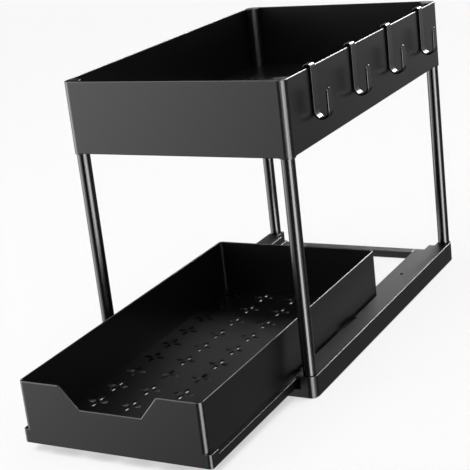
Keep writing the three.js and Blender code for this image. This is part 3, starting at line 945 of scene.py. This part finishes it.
class SPICE_RACK_OT_screws(bpy.types.Operator):
    """Pan-head screws that hold the crossbars under the rails"""

    bl_idname = "spice_rack.screws"
    bl_label = "Crossbar screws"

    def execute(self, context):
        low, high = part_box(SCREWS[0])
        head = (high.x - low.x) / 2
        bottom, top = low.z, high.z
        shank = head / 2
        profile = [(head * part, bottom + height) for part, height in SCREW_HEAD]
        for turn in range(THREAD_TURNS):
            z = bottom + THREAD_START + turn * THREAD_PITCH
            profile += [(shank * THREAD_ROOT, z), (shank, z + THREAD_PITCH / 2)]
        profile += [(shank * SCREW_POINT, top - POINT_LENGTH), (0.0, top)]
        screw = turned("crossbar_screw_master", profile, 0.0, 0.0, steps=24)
        cut(screw, (circle(0, 0, head * DRIVE, steps=6), bottom - OVERSHOOT, bottom + DRIVE_DEPTH))
        shade(screw, 40)
        places = [Vector((*centre_of(node).xy, 0.0)) for node in SCREWS]
        material = steel("zinc_plated_screw", tuple(settings(context).finish.screw))
        screws = repeat_at("crossbar_screws", screw, places, material)
        fit_piece(screws, material, "frame", "screw", *SCREWS)
        return {"FINISHED"}


PAD_RIBS = 4                # round ribs inside the outermost one
GROOVE = 0.0004             # depth of the grooves between the ribs
RIB_FOOT, RIB_TOP = 0.0004, 0.0003          # half the width of a rib at its foot and at its top
RIM_RIB_FOOT, RIM_RIB_TOP = 0.0008, 0.0007  # from a pad's edge in to the foot and top of the outermost rib
PAD_LOWER, PAD_UPPER = 0.0003, 0.0002       # chamfers of a pad's lower and upper edge


class SPICE_RACK_OT_pads(bpy.types.Operator):
    """Ribbed rubber pads under the four corners"""

    bl_idname = "spice_rack.pads"
    bl_label = "Foot pads"

    def execute(self, context):
        low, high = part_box(PADS[0])
        radius = (high.x - low.x) / 2
        bottom, top = low.z, high.z
        groove = bottom + GROOVE
        profile = [(0.0, groove)]
        for rib in range(1, PAD_RIBS + 1):
            middle = radius * rib / (PAD_RIBS + 1)
            profile += [(middle - RIB_FOOT, groove), (middle - RIB_TOP, bottom),
                        (middle + RIB_TOP, bottom), (middle + RIB_FOOT, groove)]
        profile += [(radius - RIM_RIB_FOOT, groove), (radius - RIM_RIB_TOP, bottom),
                    (radius - PAD_LOWER, bottom), (radius, bottom + PAD_LOWER),
                    (radius, top - PAD_UPPER), (radius - PAD_UPPER, top), (0.0, top)]
        pad = turned("foot_pad_master", profile, 0.0, 0.0, steps=48)
        shade(pad, 40)
        places = [Vector((*centre_of(node).xy, 0.0)) for node in PADS]
        material = plastic("rubber_pad", tuple(settings(context).finish.pad), roughness=0.85,
                           grain_depth=0.00008, grain_scale=1500.0, specular=0.3)
        pads = repeat_at("foot_pads", pad, places, material)
        fit_piece(pads, material, "frame", "pad", *PADS)
        return {"FINISHED"}


NOTCH_TOOL = 0.07           # half the width, over the rim, of the tool that cuts the finger notch
NOTCH_OVER = 0.00002        # how far over the rim that tool turns outward
NOTCH_ROUNDS = (0, 0, 0.003, 0.0012)        # rounding of the tool's corners, from its top to the notch's foot
FRONT_DEPTH = 0.006         # from the front to the end of that tool and to the start of the flanges
PETAL_CUT = 0.008           # height of the tools that cut the petals
EAR_LAP = 0.002             # how far an ear starts inside the point where the tub's corner begins
EAR_IN_WALL = 0.9           # share of the tub's wall that an ear goes into


class SPICE_RACK_OT_drawer(bpy.types.Operator):
    """Pull-out tub with a finger notch, side flanges and a pierced floor"""

    bl_idname = "spice_rack.drawer"
    bl_label = "Drawer"

    def execute(self, context):
        sizes = settings(context).drawer
        front, rear = DRAWER_LOW.y, DRAWER_HIGH.y
        bottom, rim = DRAWER_LOW.z, DRAWER_HIGH.z
        centre = (RACK_X, (front + rear) / 2)
        half_y = (rear - front) / 2
        half_x = sizes.half_width
        wall = sizes.wall
        inside = rounded_rectangle(half_x - wall, half_y - wall, sizes.corner - wall, centre)
        tub = shape("drawer_tub", (rounded_rectangle(half_x, half_y, sizes.corner, centre), bottom, rim))
        cut(tub, (inside, sizes.floor_top, rim + OVERSHOOT))
        cut(tub, (self.notch_outline(sizes, rim), front - OVERSHOOT, front + FRONT_DEPTH, "Y"))
        round_edges(tub, sizes.edge, rim_widths(centre, sizes.rim, sizes.rim_inner), segments=4,
                    seams=(("X", RACK_X), ("Y", centre[1])))
        for prisms in self.side_parts(sizes, front, rear, bottom):
            part = shape("part", *prisms)
            round_edges(part, sizes.edge)
            combine(tub, "UNION", part)
        cut(tub, (inside, bottom - OVERSHOOT, sizes.floor_top - sizes.floor))
        material = satin_black(context, "drawer")
        flower_holes().run(tub, {
            "Columns": sizes.columns, "Rows": sizes.rows, "Column pitch": sizes.pitch_x,
            "Row pitch": sizes.pitch_y, "Petal offset": sizes.petal_offset,
            "Petal length": sizes.petal_long, "Petal width": sizes.petal_short, "Depth": PETAL_CUT,
            "Centre": (*centre, sizes.floor_top - sizes.floor / 2), "Material": material})
        shade(tub)
        fit_piece(tub, material, "drawer", "drawer", "drawer")
        return {"FINISHED"}

    def notch_outline(self, sizes, rim):
        """Outline, in X and Z, of the tool that cuts the finger notch."""
        over = rim + NOTCH_OVER
        right = [(NOTCH_TOOL, rim + OVERSHOOT), (NOTCH_TOOL, over), (sizes.notch_top, over),
                 (sizes.notch_bottom, sizes.notch_height)]
        points = [(RACK_X - x, z) for x, z in right] + [(RACK_X + x, z) for x, z in reversed(right)]
        return soften(points, NOTCH_ROUNDS + NOTCH_ROUNDS[::-1])

    def side_parts(self, sizes, front, rear, bottom):
        """The flanges, the stop lugs and the ears of both sides."""
        lug = front + sizes.lug_front
        lug_reach = DRAWER_HIGH.x - RACK_X
        flanges, lugs, ears = [], [], []
        for side in (-1, 1):
            def x(value):
                return RACK_X + side * value

            flange = rectangle(x(sizes.half_width - LAP), x(sizes.flange),
                               front + FRONT_DEPTH, rear - sizes.corner)
            stop = rectangle(x(sizes.flange - LAP), x(lug_reach), lug, lug + sizes.lug_depth)
            ear = [(x(a), b) for a, b in self.ear_plan(sizes, front)]
            flanges.append((flange, bottom, sizes.flange_top))
            lugs.append((stop, bottom, sizes.flange_top))
            ears.append((ear, bottom, sizes.ear_top))
        return flanges, lugs, ears

    def ear_plan(self, sizes, front):
        """Plan of the right ear, flush with the front, its inner side within the tub's wall."""
        turn_x = sizes.half_width - sizes.corner
        turn_y = front + sizes.corner
        inner = sizes.corner - sizes.wall * EAR_IN_WALL
        outer = arc(sizes.flange - sizes.ear_corner, front + sizes.ear_corner, sizes.ear_corner, -90, 0, 10)
        rear = front + sizes.ear_depth
        return [(turn_x - EAR_LAP, front), *outer, (sizes.flange, rear), (turn_x + inner, rear),
                *arc(turn_x, turn_y, inner, 0, -90, 8), (turn_x - EAR_LAP, turn_y - inner)]


class SPICE_RACK_OT_hooks(bpy.types.Operator):
    """Flat J hooks over the right rim of the tray"""

    bl_idname = "spice_rack.hooks"
    bl_label = "Hooks"

    def execute(self, context):
        sizes = settings(context).hook
        finish = settings(context).finish
        wall = settings(context).tray.wall
        material = plastic("gloss_black_hook", tuple(finish.hook), finish.hook_gloss,
                           grain_depth=0.00001, grain_scale=1200.0, patch_scale=60.0)
        rim = TRAY_HIGH.z
        strap = sizes.thickness
        back = TRAY_HIGH.x + sizes.gap
        lip = TRAY_HIGH.x - wall - sizes.slack
        first, last = lip + sizes.arch, back - sizes.arch
        spring = rim + sizes.crown - sizes.arch
        bend_x = back + strap + sizes.bend
        bend_z = rim - sizes.drop
        prong = bend_x + sizes.bend
        tip = rim - sizes.tip
        outline = [(lip - strap, rim - sizes.lip)]
        outline += arc(first, spring, sizes.arch + strap, 180, 90, 10)
        outline += arc(last, spring, sizes.arch + strap, 90, 0, 10)
        outline += arc(bend_x, bend_z, sizes.bend, 180, 360, 24)
        outline += [(prong, tip), (prong + strap, tip)]
        outline += arc(bend_x, bend_z, sizes.bend + strap, 0, -180, 24)
        outline += arc(last, spring, sizes.arch, 0, 90, 8)
        outline += arc(first, spring, sizes.arch, 90, 180, 8)
        outline += [(lip, rim - sizes.lip)]
        for node in HOOKS:
            low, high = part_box(node)
            hook = shape(f"{node}_strap", (outline, low.y, high.y, "Y"))
            cut(hook, *self.tip_corners(sizes, low.y, high.y, tip, prong))
            round_edges(hook, sizes.edge)
            for vert in hook.data.vertices:
                vert.co.x = min(vert.co.x, high.x)
            shade(hook)
            fit_piece(hook, material, node, "hook", node)
        return {"FINISHED"}

    def tip_corners(self, sizes, first, last, top, prong):
        """What is cut from the corners of the tip."""
        radius = sizes.tip_round
        angles = [math.radians(9 * step) for step in range(11)]
        for edge, inward in ((first, 1), (last, -1)):
            curve = [(edge + inward * (radius - radius * math.cos(a)), top - radius + radius * math.sin(a))
                     for a in angles]
            beside, over = edge - inward * LAP, top + LAP
            outline = [(beside, top - radius), *curve, (edge + inward * radius, over), (beside, over)]
            yield outline, prong - LAP, prong + sizes.thickness + LAP, "X"


# Softboxes that show in reflections: turn to the right of straight ahead, half width, soft edge,
# lowest and highest angle, soft ends (all in degrees), and strength
SOFTBOXES = (
    (54, 9, 15, -28, 50, 10, 13.0),
    (75, 5, 30, -28, 50, 10, 0.6),
    (-78, 10, 22, -2, 60, 38, 4.5),
    (-55, 12, 28, -2, 62, 38, 3.1),
    (180, 4, 6, 20, 44, 6, 42.0),
    (180, 14, 8, 24, 42, 8, 3.0),
    (160, 7, 5, 22, 46, 5, 15.0),
    (155, 14, 18, -5, 14, 12, 0.42),
    (146, 10, 12, -30, -6, 12, 0.13),
    (201, 5, 13, 26, 40, 4, 0.5),
    (190, 8, 12, 4, 20, 4, 0.45),
    (0, 180, 1, 62, 90, 20, 0.15),
)
STUDIO_DARK = 0.06          # brightness of the studio between the softboxes
SOFT_LIGHT = 0.45           # strength of the even light from all round
SECOND_MIRROR = 0.25        # share of the studio that shows in a mirror image of a mirror image
MIRROR_DEPTHS = (1.2, 1.8)  # lie between a mirror image, at depth 1, and the image of that, at depth 2
FLOOR_SIZE = 4.0            # from the middle of the floor to its edges
FLOOR_GLOW = 0.85           # share of the floor's own glow in what the camera sees of it
# Painted shade on the floor: its glow to the camera dims by ambient occlusion where the rack stands over it
SHADE_REACH = 0.12          # how far up the floor looks for what stands over it
SHADED, OPEN = 0.2, 0.5     # open shares of that between which the floor's glow comes up
PAINTED_SHADE_GLOW = 0.65          # glow of the floor under the rack

# Lamps: name, place, width and height, and power
LAMPS = (
    ("key_softbox", (-1.1, -1.3, 1.5), 0.9, 16.0),
    ("top_softbox", (0.1, 0.2, 1.9), 1.2, 10.0),
)
LAMP_TARGET = Vector((RACK_X, RACK_Y - 0.1, 0.15))


class SPICE_RACK_OT_stage(bpy.types.Operator):
    """Pale floor, soft light and the camera"""

    bl_idname = "spice_rack.stage"
    bl_label = "Stage"

    def execute(self, context):
        stage = settings(context).stage
        scene = context.scene
        scene.view_settings.view_transform = "Standard"
        self.floor(stage)
        self.world(scene)
        self.lamps()
        self.camera(scene, stage)
        return {"FINISHED"}

    def floor(self, stage):
        """A pale ground that glows to the camera, with painted shade where the rack stands over it."""
        bm = bmesh.new()
        bmesh.ops.create_grid(bm, x_segments=8, y_segments=8, size=FLOOR_SIZE)
        floor = finished_object("studio_floor", bm)
        floor.visible_glossy = False
        material = bpy.data.materials.new("pale_floor")
        material.use_nodes = True
        tree = material.node_tree
        shader = tree.nodes["Principled BSDF"]
        shader.inputs["Base Color"].default_value = (*stage.floor, 1.0)
        shader.inputs["Roughness"].default_value = 0.9
        # Painted shade: ambient occlusion dims the floor's glow to the camera under the rack
        openness = add_node(tree, "ShaderNodeAmbientOcclusion", {"Distance": SHADE_REACH})["AO"]
        fade = map_range(tree, openness, SHADED, OPEN, PAINTED_SHADE_GLOW, 1.0)
        glow = add_node(tree, "ShaderNodeEmission", {"Strength": fade})["Emission"]
        path = add_node(tree, "ShaderNodeLightPath")
        amount = math_node(tree, "MULTIPLY", path["Is Camera Ray"], FLOOR_GLOW)
        seen = mixed_shader(tree, amount, shader.outputs["BSDF"], glow)
        tree.links.new(seen, tree.nodes["Material Output"].inputs["Surface"])
        floor.data.materials.append(material)

    def world(self, scene):
        """White to the camera, soft grey as light, and softboxes with dark gaps in reflections."""
        world = bpy.data.worlds.new("pale_studio")
        scene.world = world
        world.use_nodes = True
        tree = world.node_tree
        path = add_node(tree, "ShaderNodeLightPath")

        def white(node, strength):
            node.inputs["Color"].default_value = (1.0, 1.0, 1.0, 1.0)
            node.inputs["Strength"].default_value = strength
            return node.outputs["Background"]

        light = white(tree.nodes["Background"], SOFT_LIGHT)
        backdrop = white(tree.nodes.new("ShaderNodeBackground"), 1.0)
        studio = tree.nodes.new("ShaderNodeBackground")
        mirrored = math_node(tree, "MAXIMUM", path["Is Glossy Ray"], path["Is Transmission Ray"])
        share_shown = map_range(tree, path["Glossy Depth"], *MIRROR_DEPTHS, 1.0, SECOND_MIRROR)
        shown = math_node(tree, "MULTIPLY", self.softboxes(tree), share_shown)
        tree.links.new(shown, studio.inputs["Strength"])
        lit = mixed_shader(tree, mirrored, light, white(studio, 0.0))
        seen = mixed_shader(tree, path["Is Camera Ray"], lit, backdrop)
        tree.links.new(seen, tree.nodes["World Output"].inputs["Surface"])

    def softboxes(self, tree):
        """How bright the studio is in each direction."""
        def vector_node(operation, *inputs):
            return add_node(tree, "ShaderNodeVectorMath", dict(enumerate(inputs)), operation=operation)

        def ramp(source, low, high, first, last):
            return map_range(tree, source, low, high, first, last, "SMOOTHSTEP")

        def sine(angle):
            return math.sin(math.radians(max(-90, min(90, angle))))

        place = add_node(tree, "ShaderNodeTexCoord")["Generated"]
        height = add_node(tree, "ShaderNodeSeparateXYZ", {"Vector": place})["Z"]
        level = vector_node("MULTIPLY", place, (1.0, 1.0, 0.0))
        heading = vector_node("NORMALIZE", level["Vector"])
        total = STUDIO_DARK
        for turn, half, soft, low, high, fade, strength in SOFTBOXES:
            towards = (math.sin(math.radians(turn)), -math.cos(math.radians(turn)), 0.0)
            across = vector_node("DOT_PRODUCT", heading["Vector"], towards)
            inner, outer = math.cos(math.radians(half)), math.cos(math.radians(half + soft))
            bright = ramp(across["Value"], outer, inner, 0.0, strength)
            lower = ramp(height, sine(low - fade), sine(low), 0.0, 1.0)
            bright = math_node(tree, "MULTIPLY", bright, lower)
            if high < 90:
                upper = ramp(height, sine(high), sine(high + fade), 1.0, 0.0)
                bright = math_node(tree, "MULTIPLY", bright, upper)
            total = math_node(tree, "ADD", bright, total)
        return total

    def lamps(self):
        for name, place, size, power in LAMPS:
            light = bpy.data.lights.new(name, "AREA")
            light.shape = "RECTANGLE"
            light.size = light.size_y = size
            light.energy = power
            lamp = new_object(name, light)
            lamp.location = place
            lamp.rotation_euler = (LAMP_TARGET - lamp.location).to_track_quat("-Z", "Y").to_euler()
            lamp.visible_glossy = False

    def camera(self, scene, stage):
        azimuth, elevation = stage.azimuth, stage.elevation
        back = Vector((math.sin(azimuth) * math.cos(elevation), -math.cos(azimuth) * math.cos(elevation),
                       math.sin(elevation)))
        right = Vector((math.cos(azimuth), math.sin(azimuth), 0.0))
        up = back.cross(right)
        turn, lean = math.cos(stage.roll), math.sin(stage.roll)
        across = turn * right - lean * up
        upward = lean * right + turn * up
        place = Vector(stage.target) + stage.distance * back
        data = bpy.data.cameras.new("photo_camera")
        data.sensor_width = 36.0
        data.lens = stage.lens
        data.clip_end = 50.0
        camera = new_object("photo_camera", data)
        camera.matrix_world = Matrix((
            (across.x, upward.x, back.x, place.x),
            (across.y, upward.y, back.y, place.y),
            (across.z, upward.z, back.z, place.z),
            (0.0, 0.0, 0.0, 1.0)))
        scene.camera = camera


OPERATORS = (
    SPICE_RACK_OT_upper_tray,
    SPICE_RACK_OT_posts,
    SPICE_RACK_OT_rails,
    SPICE_RACK_OT_crossbars,
    SPICE_RACK_OT_screws,
    SPICE_RACK_OT_pads,
    SPICE_RACK_OT_drawer,
    SPICE_RACK_OT_hooks,
    SPICE_RACK_OT_stage,
)


class SPICE_RACK_PT_pieces(bpy.types.Panel):
    """Lists the rack's pieces and settings"""

    bl_idname = "SPICE_RACK_PT_pieces"
    bl_label = "Spice rack"
    bl_space_type = "VIEW_3D"
    bl_region_type = "UI"
    bl_category = "Spice Rack"

    def draw(self, context):
        column = self.layout.column(align=True)
        for operator in OPERATORS:
            column.operator(operator.bl_idname)
        for part in SpiceRackSettings.__annotations__:
            group = getattr(settings(context), part)
            box = self.layout.box()
            for name in group.__annotations__:
                box.prop(group, name)


CLASSES = (
    TraySizes,
    PostSizes,
    BaseSizes,
    DrawerSizes,
    HookSizes,
    Finishes,
    StageSettings,
    SpiceRackSettings,
    *OPERATORS,
    SPICE_RACK_PT_pieces,
)


def register():
    for cls in CLASSES:
        bpy.utils.register_class(cls)
    bpy.types.Scene.spice_rack = PointerProperty(
        name="Spice rack", description="Settings of the spice rack", type=SpiceRackSettings)


def unregister():
    del bpy.types.Scene.spice_rack
    for cls in reversed(CLASSES):
        bpy.utils.unregister_class(cls)


def main():
    register()
    bpy.ops.spice_rack.stage()
    bpy.ops.spice_rack.upper_tray()
    bpy.ops.spice_rack.posts()
    bpy.ops.spice_rack.rails()
    bpy.ops.spice_rack.crossbars()
    bpy.ops.spice_rack.screws()
    bpy.ops.spice_rack.pads()
    bpy.ops.spice_rack.drawer()
    bpy.ops.spice_rack.hooks()


if __name__ == "__main__":
    main()
